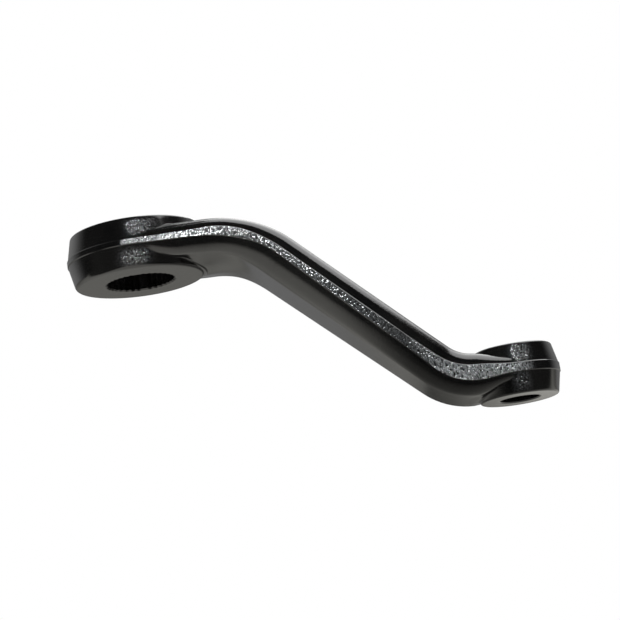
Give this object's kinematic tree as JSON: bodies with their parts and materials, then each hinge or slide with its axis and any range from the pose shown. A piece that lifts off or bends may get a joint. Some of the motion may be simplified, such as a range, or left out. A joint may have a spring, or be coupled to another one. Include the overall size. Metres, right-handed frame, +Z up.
{
  "type": "pitman arm",
  "caption": "Cranked forged steering arm, painted black, with a serrated taper bore in the wide boss for the steering box shaft and a plain taper bore in the narrow boss for a ball stud.",
  "frame": {"origin": "centre of the splined bore on the wide boss's bottom face", "axes": "+Z up the splined bore, the way the steering box shaft leaves; +X from the splined bore towards the stud bore; the arm is symmetric about the plane Y = 0"},
  "size_m": [0.2114, 0.0636, 0.102],
  "materials": {
    "black_paint": "satin black paint over a forged steel skin, with a rougher trimmed land along the parting line"
  },
  "bodies": {
    "root": {"pitman_arm": "black_paint"}
  },
  "joints": []
}
